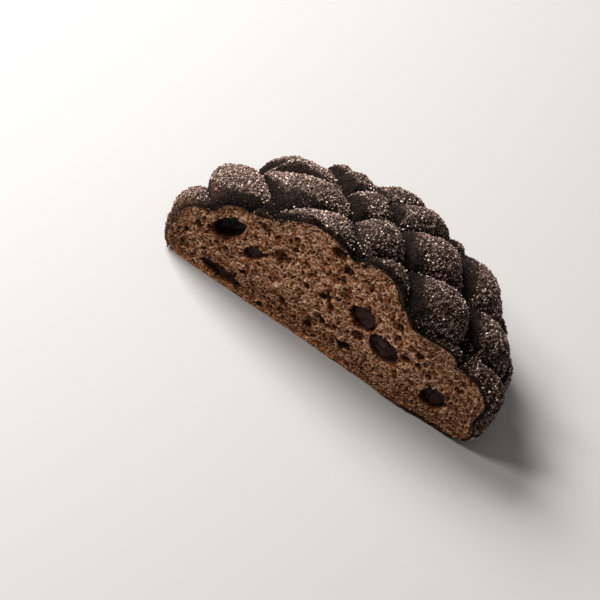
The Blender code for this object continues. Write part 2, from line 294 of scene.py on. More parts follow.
def cut_line(x):
    """Where the cut runs in flat coordinates: straight, with one bell forward."""
    return -CUT_BULGE * bell(x, *CUT_BULGE_PLACE)


def face_depth(x, z):
    """The cut face's y: the cut line's bell, less of it towards the base."""
    return cut_line(x) * (BULGE_AT_BASE + (1 - BULGE_AT_BASE) * z / BUN_HEIGHT)


def sag(flat):
    """How far the crust sinks near the cut: most at the edge, fading as exp(-t^1.5) behind it."""
    x = flat[..., 0]
    behind = np.maximum(flat[..., 1] - cut_line(x), 0)
    deepest = SAG
    for amount, place in MORE_SAG:
        deepest = deepest + amount * bell(x, *place)
    return deepest * np.exp(-((behind / SAG_LENGTH) ** 1.5))


def crust_form(flat):
    """The pillow form (0 in a groove, 1 on top) and the offsets of the crust's outer and inner faces."""
    pillow = bulge(flat, ROWS) * bulge(flat, COLUMNS)
    along = np.linalg.norm(flat, axis=-1)
    relief = 1 - smooth_step(SMOOTH_FROM, SMOOTH_TO, along)
    outer = PILLOW_RISE - (GROOVE_DEPTH * (1 - pillow) + sag(flat)) * relief
    pillow = 1 - (1 - pillow) * relief
    thickness = CRUST_AT_PILLOW + THICKER_TO_RIGHT * flat[..., 0]
    thickness = thickness - THINNER_AT_LEFT_PILLOW * bell(flat[..., 0], *LEFT_PILLOW)
    thickness = thickness - THINNER_AT_RIGHT_END * smooth_step(*RIGHT_END, flat[..., 0])
    thickness = CRUST_AT_GROOVE + (thickness - CRUST_AT_GROOVE) * pillow
    thickness = thickness + (CRUST_AT_RIM - thickness) * smooth_step(RIM - RIM_TAPER, RIM, along)
    return pillow, outer, outer - thickness


print(f"the cut stands up to {np.max(-cut_line(np.linspace(-RIM, RIM, 400))):.1f} mm forward")


# %% [markdown]
# ## Noise made of whole arrays
# Baked dough is irregular at every size. Three kinds of noise describe it: a smooth drift, for lumps and
# uneven lines; grains, for anything that is packed from pieces; and pores, for bubbles that a knife has
# opened. Each reads a random number for each cell of a lattice, worked out from the cell's own whole
# numbers, so that it comes out the same on every run.

# %% Random numbers for lattice cells, and smooth drift
HASH_AXES = np.array((374761393, 668265263, 1274126177))
HASH_SEED = 1013904223
HASH_FOLDS = ((15, 739982445), (12, 695872825))
HASH_MASK = 0xFFFFFFFF


def cell_random(cell, seed):
    """A number from 0 to 1 for each cell: its whole numbers and the seed are multiplied, added and folded."""
    mixed = (cell * HASH_AXES[: cell.shape[-1]]).sum(axis=-1) + seed * HASH_SEED & HASH_MASK
    for shift, factor in HASH_FOLDS:
        mixed = (mixed ^ mixed >> shift) * factor & HASH_MASK
    return (mixed ^ mixed >> 15) / HASH_MASK


def drift(points, size, seed):
    """Smooth noise from -1 to 1: the random numbers of a cell's corners, blended across it with S curves."""
    cell = np.floor(points / size).astype(np.int64)
    share = points / size - cell
    share = share * share * (3 - 2 * share)
    total = np.zeros(points.shape[:-1])
    for corner in itertools.product((0, 1), repeat=points.shape[-1]):
        weight = np.prod(np.where(corner, share, 1 - share), axis=-1)
        total += weight * cell_random(cell + corner, seed)
    return 2 * total - 1


def neighbours(points, size, seed):
    """For each lattice cell round each point: the offset to the seed point strewn in it, and the cell."""
    cell = np.floor(points / size).astype(np.int64)
    axes = range(points.shape[-1])
    for step in itertools.product((-1, 0, 1), repeat=points.shape[-1]):
        near = cell + step
        strewn = near + np.stack([cell_random(near, seed + axis) for axis in axes], axis=-1)
        yield points - strewn * size, near


def grains(points, size, seed):
    """Packed grains: how far each point is inside its own grain (half the lead of the nearest seed point over
    the second nearest), and that grain's own random number."""
    first = np.full(points.shape[:-1], np.inf)
    second = first.copy()
    number = np.zeros(points.shape[:-1])
    for offset, cell in neighbours(points, size, seed):
        distance = np.linalg.norm(offset, axis=-1)
        second = np.where(distance < first, first, np.minimum(second, distance))
        number = np.where(distance < first, cell_random(cell, seed + 7), number)
        first = np.minimum(first, distance)
    return (second - first) / 2, number


# %% Pores that a knife has opened
PORE_SMALLEST = 0.2
PORE_RANGE = 0.3


def pores(points, size, openness, seed, stretch=(1.0, 1.0)):
    """Depth of round pores in a flat face. A lattice cell may hold one ball, whose middle lies at its own
    depth m behind the face; inside its opening the depth is m + sqrt(r² - d²), its far side."""
    deepest = np.zeros(points.shape[:-1])
    for offset, cell in neighbours(points, size, seed):
        radius = size * (PORE_SMALLEST + PORE_RANGE * cell_random(cell, seed + 3))
        behind = radius * (1.3 * cell_random(cell, seed + 4) - 0.6)
        away = ((offset / stretch) ** 2).sum(axis=-1)
        is_open = (away < radius**2 - behind**2) & (cell_random(cell, seed + 5) < openness)
        depth = behind + np.sqrt(np.maximum(radius**2 - away, 0))
        deepest = np.maximum(deepest, np.where(is_open, depth, 0))
    return deepest


# %% [markdown]
# ## The biscuit crust
# The crust is one closed shell. Its outer face is a grid bent over the half dome: a rectangle becomes a
# half disc when each of its sides is pulled out to the rim, and the half disc is lifted onto the bun.
# Over the pillows lie soft lumps, cracks between packed granules, and the granules themselves.

# %% Grids, walls and borders
def half_disc(rows, columns, front_share):
    """Flat coordinates over the crust: x = a·sqrt(1 - b²/2) and y = b·sqrt(1 - a²/2) times the rim's
    distance, for a from -1 to 1 along the cut and b from 0 to 1 behind it."""
    a, b = np.meshgrid(np.linspace(-1, 1, columns + 1), np.linspace(0, 1, rows + 1))
    b = b * (front_share + (1 - front_share) * b)
    x = RIM * a * np.sqrt(1 - b * b / 2)
    y = RIM * b * np.sqrt(1 - a * a / 2)
    return np.stack((x, y + cut_line(x) * (1 - b) ** 2), axis=-1)


def grid_faces(rows, columns, first=0, turned=False):
    """Quads between the points of a grid that is stored row by row."""
    number = first + np.arange((rows + 1) * (columns + 1)).reshape(rows + 1, columns + 1)
    corners = (number[:-1, :-1], number[:-1, 1:], number[1:, 1:], number[1:, :-1])
    faces = np.stack(corners, axis=-1).reshape(-1, 4)
    return faces[:, ::-1] if turned else faces


def grid_border(rows, columns, first=0):
    """The border of a grid, once round: front row, right side, back row, left side."""
    number = first + np.arange((rows + 1) * (columns + 1)).reshape(rows + 1, columns + 1)
    return np.concatenate((number[0, :-1], number[:-1, -1], number[-1, :0:-1], number[:0:-1, 0]))


def ring_faces(rings):
    """Quads from each closed ring of points to the next."""
    after = [np.roll(ring, -1) for ring in rings]
    steps = zip(rings, after, rings[1:], after[1:])
    return np.concatenate([np.stack((a, below, below_b, b), axis=-1) for a, b, below, below_b in steps])


def grid_normals(points):
    """Each grid point's outward direction: the cross product of the steps to its neighbours."""
    across = np.gradient(points, axis=1)
    back = np.gradient(points, axis=0)
    normal = np.cross(across, back)
    return normal / np.maximum(np.linalg.norm(normal, axis=-1, keepdims=True), 1e-9)


# %% The crust's relief
GRANULE_SIZE = 1.25
GRANULE_GAP = 0.24
GRIT_SIZE = 0.80
GRIT_GAP = 0.18


def crust_relief(points, bare):
    """Height over the pillows: two sizes of lump, packed granules that stand a little proud of the cracks
    round them, and finer grit, all of them weaker where the dough has stretched thin on the flanks."""
    lumps = 0.30 * drift(points, 6.5, SEED) + 0.20 * drift(points, 2.7, SEED + 1)
    inside, number = grains(points, GRANULE_SIZE, SEED + 10)
    gap = 1 - np.minimum(inside / GRANULE_GAP, 1)
    granules = 0.45 * (1 - gap) * (0.3 + 0.7 * number)
    inside, fine = grains(points, GRIT_SIZE, SEED + 20)
    fine_gap = 1 - np.minimum(inside / GRIT_GAP, 1)
    grit = 0.30 * (1 - fine_gap) * (0.2 + 0.8 * fine)
    return lumps + (granules + grit - 0.4) * (1 - 0.2 * bare), number, fine, np.maximum(gap, 0.5 * fine_gap)


# %% [markdown]
# ## Puffed pillows and a rolled edge
# Baking puffs the pillows up and draws the grooves in, and the knife pressed the crust down where it cut.
# So each pillow gets a crown, each groove a crease, and close to the cut the outer face turns down like
# the quarter of a circle: a share of the thickness is taken off, which grows as 1 - sqrt(1 - t²).

# %% The outer face, puffed up and rolled in at the cut
CRUST_ROWS = 200
CRUST_COLUMNS = 400
FRONT_SHARE = 0.78
PUFF = 0.45
CROWN = 0.4
CREASE = 1.1
ROLL_LENGTH = 3.6
ROLL_SHARE = 0.72

outer_flat = half_disc(CRUST_ROWS, CRUST_COLUMNS, FRONT_SHARE)
across = outer_flat[..., 0]
behind_cut = outer_flat[..., 1] - cut_line(across)
at_middle = bell(across, -12.0, 10.0)
at_right = smooth_step(28.0, 38.0, across)
pillow, outer, inner = crust_form(outer_flat)
dome = dome_normal(outer_flat)

ahead = 1 - np.clip(behind_cut / (ROLL_LENGTH - 1.9 * at_middle), 0, 1)
roll = ROLL_SHARE * (1 + 0.3 * at_middle + 0.2 * at_right)
outer = outer - roll * (outer - inner) * (1 - np.sqrt(1 - ahead**2))
outer = outer + CROWN * pillow**3 - CREASE * (1 - pillow) ** 2 * smooth_step(1.0, 5.0, behind_cut)
smooth_crust = lift(outer_flat, outer - PUFF)
crust_normals = grid_normals(smooth_crust)
smooth_crust = smooth_crust + PUFF * crust_normals
print(f"the crust is {smooth_crust[..., 2].max():.1f} mm high before its granules")

# %% [markdown]
# ## Bare flanks, with painted shade
# Where the pillows pulled apart while they rose, the biscuit is stretched thin, nearly black and free of
# sugar: on their low fronts to the left, and on their left flanks to the right. The same mask also carries
# painted shade: on these flanks, in the grooves and along the cut edge it makes the crust darker than the
# dough's own colour. A mask could be painted by hand. Here it is measured instead, so that it follows the
# form: a place counts as stretched as far as its normal leans from the dome's own in the direction of the
# flank, and an uneven limit gives the mask.

# %% Where the dough has stretched bare, and where shade is painted
# Places that are less or more stretched than their lean says: the amount, the middle and half width along
# the cut, and the same two behind it.
LESS_OR_MORE = ((-0.32, (-2.5, 6.0), (8.0, 6.5)), (0.25, (14.5, 4.0), (12.0, 7.0)))

to_side = smooth_step(-12.0, 4.0, across)
facing = np.stack((0.15 + 0.75 * to_side, 1.0 - 0.6 * to_side, 0 * to_side), axis=-1)
stretched = ((dome - crust_normals) * facing).sum(axis=-1) + 0.10 * drift(smooth_crust, 2.2, SEED + 3)
for amount, along_cut, behind in LESS_OR_MORE:
    stretched = stretched + amount * bell(across, *along_cut) * bell(behind_cut, *behind)
stretched = stretched - 0.07 * (1 - to_side)
uneven_pillow = pillow + 0.08 * drift(smooth_crust, 2.2, SEED + 2)
top_from = 0.78 - 0.18 * to_side
# This mask is the stretched, sugarless dough and painted shade together: the flanks it picks, the grooves and
# the band along the cut edge get darker than the dough's own colour.
bare = smooth_step(0.26, 0.48, stretched) * (1 - smooth_step(top_from, top_from + 0.35, uneven_pillow))
sugared_edge = np.maximum(at_middle, at_right)
bare = bare * (1 - sugared_edge * (1 - smooth_step(6, 9, behind_cut)))
bare = np.maximum(bare, 1 - smooth_step(0.15, 0.42, pillow))
rubbed = 0.6 + 2.6 * bell(across, *LEFT_PILLOW) - 0.3 * at_middle - 0.4 * at_right
rubbed = np.maximum(rubbed + 0.5 * drift(outer_flat, 2.5, SEED + 4), 0.1)
bare = np.maximum(bare, 1 - smooth_step(0.5 * rubbed, 1.3 * rubbed, behind_cut))
print(f"{100 * bare.mean():.0f}% of the crust is bare flank or groove")

# %% [markdown]
# ## Granules and the broken edge
# The granules stand out along the face's own normal, leaned a little towards the dome's, so that the two
# sides of a groove don't run into each other. At the cut the shell turns down into a wall of broken
# biscuit, packed grains pushed in and out, and it closes underneath with a coarser grid.

# %% Granules on the outer face
LEAN_TO_DOME = 0.3
LOWEST_CRUST = 0.15

crust_normals = crust_normals + LEAN_TO_DOME * dome
crust_normals /= np.linalg.norm(crust_normals, axis=-1, keepdims=True)
relief, granule, grain, gap = crust_relief(smooth_crust, bare)
crust_points = smooth_crust + crust_normals * relief[..., None]
crust_points[..., 2] = np.maximum(crust_points[..., 2], LOWEST_CRUST)
print(f"the relief runs from {relief.min():.2f} to {relief.max():.2f} mm")

# %% The broken edge and the inner face
INNER_STEP = 5
WALL_RINGS = 8


def block_minimum(values, step):
    """The least value round every step-th point of a grid, so that a coarse grid stays under a fine one."""
    padded = np.pad(values, step, mode="edge")
    shifts = itertools.product(range(0, 2 * step + 1), repeat=2)
    lowest = np.min([padded[i : i + values.shape[0], j : j + values.shape[1]] for i, j in shifts], axis=0)
    return lowest[::step, ::step]


inner_flat = outer_flat[::INNER_STEP, ::INNER_STEP]
inner_points = lift(inner_flat, block_minimum(inner, INNER_STEP))
border = grid_border(CRUST_ROWS, CRUST_COLUMNS)
top_edge = crust_points.reshape(-1, 3)[border]
under_edge = lift(outer_flat, inner).reshape(-1, 3)[border]
share = np.linspace(0, 1, WALL_RINGS + 1)[1:, None, None]
wall = top_edge + (under_edge - top_edge) * share
inside, _ = grains(wall, 0.9, SEED + 30)
broken = 0.22 * drift(wall, 1.6, SEED + 31) + 0.35 * np.minimum(inside / 0.25, 1) - 0.1
at_cut = (np.arange(len(border)) < CRUST_COLUMNS)[:, None]
wall = wall - (broken[..., None] * at_cut) * (0, 1, 0) * (share < 1)
print(f"the broken edge has {wall.size // 3} points")

# %% Join the crust's faces
starts = np.cumsum([0, crust_points.size // 3, wall.size // 3])
rings = [border] + [starts[1] + len(border) * ring + np.arange(len(border)) for ring in range(WALL_RINGS)]
inner_rows = CRUST_ROWS // INNER_STEP
inner_columns = CRUST_COLUMNS // INNER_STEP
inner_border = np.repeat(grid_border(inner_rows, inner_columns, starts[2]), INNER_STEP)
crust_faces = np.concatenate((
    grid_faces(CRUST_ROWS, CRUST_COLUMNS),
    ring_faces(rings + [inner_border]),
    grid_faces(inner_rows, inner_columns, starts[2], turned=True),
))
crust_cloud = np.concatenate([part.reshape(-1, 3) for part in (crust_points, wall, inner_points)])
wall_granule = cell_random(np.floor(wall * 1.2).astype(np.int64), SEED)
at_edge = at_cut[:, 0] * smooth_step(0.2, 0.75, share[..., 0] + 0.2 * drift(wall, 1.2, SEED + 32))


def over_shell(outer_values, wall_values=None):
    """Values for every point of the shell: the outer face's, the wall's, and 0 inside. Without values of
    its own, the wall carries on those of the outer face's border."""
    if wall_values is None:
        wall_values = np.tile(outer_values.ravel()[border], WALL_RINGS)
    return np.concatenate((outer_values.ravel(), wall_values.ravel(), np.zeros(inner_points.size // 3)))


def weld(piece, distance=1e-7):
    """Merges points that share a place, and drops the faces that this leaves with no area."""
    made = bmesh.new()
    made.from_mesh(piece.data)
    bmesh.ops.remove_doubles(made, verts=made.verts[:], dist=distance)
    bmesh.ops.dissolve_degenerate(made, edges=made.edges[:], dist=distance)
    made.to_mesh(piece.data)
    open_edges = sum(not edge.is_manifold for edge in made.edges)
    made.free()
    print(f"{piece.name}: {open_edges} open edges after welding")


crust = add_piece(
    "crust", crust_cloud, crust_faces, "biscuit", ("biscuit_crust",),
    bare=over_shell(bare),
    pillow=over_shell(pillow),
    granule=over_shell(granule, wall_granule),
    grain=over_shell(grain, 0.5 * wall_granule),
    gap=over_shell(gap, 0.5 * wall_granule),
    cut=over_shell(0 * pillow, at_edge),
)
weld(crust)

# %% [markdown]
# ## The crumb
# Bread crumb is a foam that sets while it bakes, and a knife opens its bubbles. The face is a heightfield
# over the cut: large, middling and small pores one in another, with thin curly walls left standing
# between them. Near the crust the bubbles are flattened along it, so there the same noise is read in
# coordinates that follow the crust.

# %% Places on the crumb
GAP = 0.1
FOOT_LENGTH = 3.6
FACE_END = RIM + FOOT_LENGTH


def crumb_point(flat, offset):
    """A point of the crumb's skin above flat coordinates. Beyond the crust's rim it slopes in to the base."""
    along, compass = polar(flat)
    foot = BASE_RADIUS * np.stack((np.cos(compass), np.sin(compass), 0 * compass), axis=-1)
    inward = np.minimum(along, RIM) / np.maximum(along, 1e-9)
    skin = lift(flat * inward[..., None], offset)
    share = np.clip((along - RIM) / FOOT_LENGTH, 0, 1)[..., None]
    return skin + (foot - skin) * share


# Chips: middle along the cut, height, half length, half thickness, tilt in degrees, and how far the
# front of the chip lies behind the cut.
CHIPS = (
    (-36.8, 19.2, 5.2, 2.7, 48.0, 2.4),
    (-27.2, 16.2, 3.0, 1.7, 35.0, 0.5),
    (-33.3, 3.5, 6.6, 1.6, -3.0, 0.4),
    (9.6, 19.2, 4.1, 2.9, -22.0, 0.6),
    (18.8, 14.2, 4.8, 3.2, -3.0, 0.9),
    (37.4, 9.2, 3.4, 3.1, -20.0, 0.5),
)
# Hollows that are larger than the rest: middle, height, half width, half height, tilt, depth.
HOLLOWS = (
    (11.1, 35.9, 2.0, 1.1, -35.0, 1.6),
    (14.7, 27.9, 1.9, 1.1, -30.0, 1.5),
    (20.9, 22.2, 2.6, 1.3, -20.0, 1.4),
    (26.4, 18.0, 2.4, 1.2, -35.0, 1.3),
    (39.9, 17.9, 1.7, 1.0, -30.0, 1.6),
    (43.2, 13.8, 1.5, 1.1, -20.0, 1.3),
)


def spot(x, z, middle, height, half_width, half_height, tilt):
    """How far out in a tilted ellipse each point of the face is: 0 in its middle and 1 on its edge."""
    turn = math.radians(tilt)
    along = (x - middle) * math.cos(turn) + (z - height) * math.sin(turn)
    across = (z - height) * math.cos(turn) - (x - middle) * math.sin(turn)
    return np.hypot(along / half_width, across / half_height)


# %% The cut face's relief
POCKET_DEPTH = 4.3
PRESSED_HEIGHT = 4.5
WALL_THICKNESS = 0.2


def foam(points, size, rarity, seed):
    """Packed bubbles cut open: inside its border each is hollowed by its own depth times the square root of
    the share of the way in, and the borders are left standing as walls. Gives the depth and the walls."""
    inside, number = grains(points, size, seed)
    hollow = 0.9 * size * number**rarity * np.sqrt(np.minimum(inside / (0.35 * size), 1))
    return hollow, np.maximum(1 - inside / WALL_THICKNESS, 0)


def crumb_relief(plain, along, below):
    """Depth behind the cut, how dark it is down there, and the walls. Domain warping (reading a noise at
    places that another noise has shifted) makes round bubbles irregular. Above the base the height z
    becomes z + h·(1 - exp(-z/h)), and beside the crust the depth under it is stretched, so that bubbles
    lie flat there."""
    warp = np.stack((drift(plain, 2.2, SEED + 40), drift(plain, 2.2, SEED + 41)), axis=-1)
    warp = warp + 0.45 * np.stack((drift(plain, 0.8, SEED + 42), drift(plain, 0.8, SEED + 43)), axis=-1)
    free = plain + 0.5 * warp
    pressed = PRESSED_HEIGHT * (1 - np.exp(-plain[..., 1] / PRESSED_HEIGHT))
    above_base = free + np.stack((0 * pressed, pressed), axis=-1)
    beside_crust = np.stack((along, 1.6 * below), axis=-1) + 0.6 * warp
    near_crust = below < np.minimum(3.0 + 1.5 * drift(plain, 2.5, SEED + 58), plain[..., 1])
    layered = np.where(near_crust[..., None], beside_crust, above_base)
    middle = smooth_step(0.0, 9.0, below) * smooth_step(0.5, 7.0, plain[..., 1])
    large = 0.8 * pores(free, 4.4, 0.20 * middle, SEED + 50, (1.25, 0.9))
    medium = 0.8 * pores(free, 2.4, 0.30 * (0.3 + 0.7 * middle), SEED + 60, (1.2, 0.85))
    coarse, coarse_walls = foam(layered, 2.0, 2.5, SEED + 44)
    fine, fine_walls = foam(layered, 1.15, 0.8, SEED + 45)
    tiny, tiny_walls = foam(layered, 0.7, 1.2, SEED + 55)
    deep = np.maximum(np.maximum(large, medium), 0.5 * coarse * (0.4 + 0.6 * middle))
    # A pale line just under the crust: the crumb's layered walls there, with a painted highlight on its top
    # edge.
    rim = 0.5 * bell(below, 0.35, 0.25) * smooth_step(-0.3, 0.5, drift(layered, 2.0, SEED + 54))
    walls = np.maximum(np.maximum(coarse_walls, fine_walls), 0.35 * tiny_walls)
    kept = smooth_step(-0.7, 0.6, drift(layered, 1.1, SEED + 57))
    walls = np.maximum(walls * (0.5 + 0.5 * kept) * (1 - 0.6 * np.minimum(deep, 1)), rim)
    swell = 0.30 * drift(plain, 7.0, SEED + 46) + 0.15 * drift(plain, 3.0, SEED + 47)
    high = smooth_step(1.0, 9.0, plain[..., 1])
    dark = 0.12 + (deep / 2.4 + 0.75 * fine + 0.35 * tiny) * (1.4 - 0.4 * high)
    at_base = 0.35 + 0.65 * high
    return (0.60 * deep + 0.75 * fine + 0.4 * tiny) * at_base - 0.38 * walls + swell, dark, walls


def add_hollows(plain, depth, dark, walls, warp_seed):
    """Deepens the face at the large hollows and at the chips' pockets, whose edges are uneven. The hollows
    also get a little painted shade, and the pockets a mask for a painted shadow.
    """
    x, z = plain[..., 0], plain[..., 1]
    uneven = 0.07 * drift(plain, 1.8, warp_seed) + 0.05 * drift(plain, 0.8, warp_seed + 1)
    in_pocket = np.zeros(x.shape)
    for middle, height, half_width, half_height, tilt, deep in HOLLOWS:
        out = spot(x, z, middle, height, half_width, half_height, tilt) + uneven
        hollow = np.sqrt(np.clip(1 - out**2, 0, 1))
        depth = depth + 0.65 * deep * hollow
        dark = dark + 0.2 * hollow
    for middle, height, half_length, half_thickness, tilt, recess in CHIPS:
        room = 0.2 + 0.35 * min(recess, 1.2)
        out = spot(x, z, middle - 0.1, height + 0.2, half_length + room, half_thickness + room, tilt) + uneven
        inside = np.sqrt(np.clip(1 - out**4, 0, 1))
        depth = depth * (1 - inside) + POCKET_DEPTH * inside
        walls = walls * smooth_step(0.95, 1.06, out)
        in_pocket = np.maximum(in_pocket, 1 - smooth_step(0.96, 1.03, out))
    return depth, dark, walls, in_pocket


# %% [markdown]
# ## One closed grid
# One closed grid goes up the cut face, back under the crust, down to the foot and forward again along the
# baked base. Only the cut face needs fine rows. Nobody sees the crumb under the crust, so the rows there
# are few, and they stay below the deepest groove.

# %% The cut face
FACE_ROWS = 164
CRUMB_COLUMNS = 500

a = np.linspace(-1, 1, CRUMB_COLUMNS + 1)
flat_x = FACE_END * a
edge_flat = np.stack((flat_x, np.where(np.abs(flat_x) < RIM, cut_line(flat_x), 0)), axis=-1)
edge_points = crumb_point(edge_flat, crust_form(edge_flat)[2] - GAP)
base_line = np.stack((BASE_RADIUS * a, face_depth(BASE_RADIUS * a, 0), 0 * a), axis=-1)

up = np.linspace(0, 1, FACE_ROWS + 1)[:, None, None]
face = base_line + (edge_points - base_line) * up
plain = face[..., (0, 2)]
column_length = np.linalg.norm(edge_points - base_line, axis=-1)
below = column_length * (1 - up[..., 0])
along = np.broadcast_to(flat_x, below.shape)
depth, dark, walls = crumb_relief(plain, along, below)
depth, dark, walls, in_pocket = add_hollows(plain, depth, dark, walls, SEED + 48)
hold = smooth_step(0, 0.9, below) * smooth_step(0, 0.6, plain[..., 1]) * smooth_step(0, 3.0, column_length)
depth = depth * (0.25 + 0.75 * hold) * smooth_step(0, 0.5, column_length)
face[..., 1] = face_depth(plain[..., 0], plain[..., 1]) + depth
base_places = np.stack((flat_x, 0 * flat_x), axis=-1)
base_wave = 0.28 * (1 + drift(base_places, 3.5, SEED + 49)) + 0.16 * (1 + drift(base_places, 1.1, SEED + 59))
face[0, :, 2] = base_wave * smooth_step(0, 3.0, column_length)
print(f"the pores reach {depth.max():.1f} mm behind the cut")

# %% Under the crust, down to the foot and back along the base
UNDER_GROOVES = -7.6
UNDER_ROWS = 8
FOOT_ROWS = 3
BASE_ROWS = 10

rim_y = np.sqrt(np.maximum(RIM**2 - flat_x**2, 0))
end_y = np.sqrt(np.maximum(FACE_END**2 - flat_x**2, 0))
under_share = np.linspace(0, 1, UNDER_ROWS + 1)[1:, None]
foot_share = np.linspace(0, 1, FOOT_ROWS + 1)[1:, None]
under_y = edge_flat[:, 1] + (rim_y - edge_flat[:, 1]) * under_share
back_y = np.concatenate((under_y, rim_y + (end_y - rim_y) * foot_share))
back_flat = np.stack((np.broadcast_to(flat_x, back_y.shape), back_y), axis=-1)
true_inner = crust_form(back_flat)[2] - GAP
at_rim = smooth_step(SMOOTH_TO - 4, SMOOTH_TO, np.linalg.norm(back_flat, axis=-1))
back = crumb_point(back_flat, UNDER_GROOVES + (true_inner - UNDER_GROOVES) * at_rim)
base_share = np.linspace(0, 1, BASE_ROWS + 1)[1:-1, None, None]
base = back[-1] + (base_line - back[-1]) * base_share
crumb_rows = np.concatenate((face, back, base))

# %% Colour values, and the crumb in one piece
tone = 0.30 + 0.28 * smooth_step(2.0, 10.0, plain[..., 1])
tone = tone + 0.46 * bell(plain[..., 0], -6.0, 32.0) * smooth_step(4.0, 18.0, plain[..., 1])
tone = tone + 0.12 * drift(plain, 6.0, SEED + 56)
ragged = plain[..., 1] + 0.8 * drift(plain, 1.5, SEED + 52) + 0.4 * drift(plain, 0.6, SEED + 53)
baked = np.concatenate((
    1 - smooth_step(0.9, 2.1, ragged),
    np.zeros((UNDER_ROWS, len(a))),
    np.ones((FOOT_ROWS + BASE_ROWS - 1, len(a))),
))


def on_face(values, elsewhere=0.0):
    """Values for every point of the crumb: the cut face's own, and one number for all the rest."""
    return np.concatenate((values, np.full((len(crumb_rows) - len(face), len(a)), elsewhere)))


crumb_faces = grid_faces(len(crumb_rows), CRUMB_COLUMNS) % (len(crumb_rows) * len(a))
crumb = add_piece(
    "cut_crumb", crumb_rows, crumb_faces, "crumb", ("crumb",),
    depth=on_face(np.clip(dark, 0, 1.2)), baked=baked, pocket=on_face(in_pocket), walls=on_face(walls),
    tone=on_face(tone, 0.5),
)
weld(crumb, 3e-6)

# %% [markdown]
# ## Chocolate chips
# A chip that has been baked and cut is a lump with a dull, slightly smeared face. Each is a ball of rings
# pressed to the chip's own length and thickness, cut off a little behind the face and roughened.

# %% Build the chips
CHIP_AROUND = 72
CHIP_RINGS = 40
CHIP_CENTRE_BEHIND = 1.6
CHIP_HALF_DEPTH = 3.6
CHIP_SUNK = 1.1


def chip_points(chip, seed):
    """A ball cos(v)·cos(u), sin(v), cos(v)·sin(u) scaled to the chip, whose front is flattened towards a
    plane: beyond it only an eighth of the bulge is left."""
    middle, height, half_length, half_thickness, tilt, recess = chip
    u = np.linspace(0, 2 * math.pi, CHIP_AROUND + 1)[None, :]
    v = np.linspace(-math.pi / 2, math.pi / 2, CHIP_RINGS + 1)[:, None]
    ball = np.stack((np.cos(v) * np.cos(u), np.sin(v) + 0 * u, np.cos(v) * np.sin(u)), axis=-1)
    size = np.array((half_length, CHIP_HALF_DEPTH, half_thickness))
    rough = 1 + 0.09 * drift(ball * size, 1.9, seed) + 0.04 * drift(ball * size, 0.7, seed + 1)
    lump = ball * size * rough[..., None]
    front = recess - CHIP_CENTRE_BEHIND
    lump[..., 1] = np.where(lump[..., 1] < front, front + 0.13 * (lump[..., 1] - front), lump[..., 1])
    ahead = 1 - smooth_step(-0.2, 0.6, lump[..., 1] - front)
    seen = lump * (1, 0, 1)
    lump[..., 1] += ahead * (0.6 * drift(seen, 1.7, seed + 2) + 0.24 * drift(seen, 0.6, seed + 3))
    lump[..., 1] += CHIP_SUNK * (1 - smooth_step(0, 3.0, lump[..., 1] - front))
    turn = np.array(Matrix.Rotation(math.radians(-tilt), 3, "Y"))
    return lump @ turn.T + (middle, face_depth(middle, height) + CHIP_CENTRE_BEHIND, height)


for number, chip in enumerate(CHIPS, start=1):
    faces = grid_faces(CHIP_RINGS, CHIP_AROUND)
    points = chip_points(chip, SEED + 100 + 10 * number)
    # The chip that lies deepest behind the cut is painted nearly black: a painted shade for its deep pocket.
    sunk = np.full(points.shape[:-1], smooth_step(1.0, 2.2, chip[-1]))
    piece = add_piece(f"chocolate_{number}", points, faces, "chocolate", (f"chip_{number}",), sunk=sunk)
    weld(piece, 1e-6)

# %% [markdown]
# ## Sugar and grit
# The pillows sparkle because sugar crystals stick to them. Between the crystals lie coarse specks of
# biscuit, pale on the pillows and dark on the bare flanks. All three kinds are strewn over the finished
# crust: a place is drawn at random, more often where that kind belongs, and a small faceted body is turned
# at random and a little more than half sunk there. Separate objects would be easier to move, but tens of
# thousands of them would be slow, so all bodies of a kind are one mesh, worked out as one array.

# %% Strew small bodies over the crust
# A crystal is a cube and a speck is a body of eight triangles, each as its corners and its faces.
CRYSTAL = (
    np.array([corner for corner in itertools.product((-1, 1), repeat=3)], float),
    np.array(((0, 1, 3, 2), (4, 6, 7, 5), (0, 4, 5, 1), (2, 3, 7, 6), (0, 2, 6, 4), (1, 5, 7, 3))),
)
SPECK = (
    np.array(((1, 0, 0), (-1, 0, 0), (0, 1, 0), (0, -1, 0), (0, 0, 1), (0, 0, -1)), float),
    np.array(((0, 2, 4), (2, 1, 4), (1, 3, 4), (3, 0, 4), (2, 0, 5), (1, 2, 5), (3, 1, 5), (0, 3, 5))),
)
LOWEST_BODY = 0.05
SMALL_ONES = 1.8  # an exponent: the higher, the more of them are small


def random_turns(chance, count):
    """Random rotation matrices, from random quaternions (w, x, y, z) of length 1."""
    drawn = chance.normal(size=(4, count))
    w, x, y, z = drawn / np.linalg.norm(drawn, axis=0)
    return np.stack((
        np.stack((1 - 2 * (y * y + z * z), 2 * (x * y - w * z), 2 * (x * z + w * y)), axis=-1),
        np.stack((2 * (x * y + w * z), 1 - 2 * (x * x + z * z), 2 * (y * z - w * x)), axis=-1),
        np.stack((2 * (x * z - w * y), 2 * (y * z + w * x), 1 - 2 * (x * x + y * y)), axis=-1),
    ), axis=1)


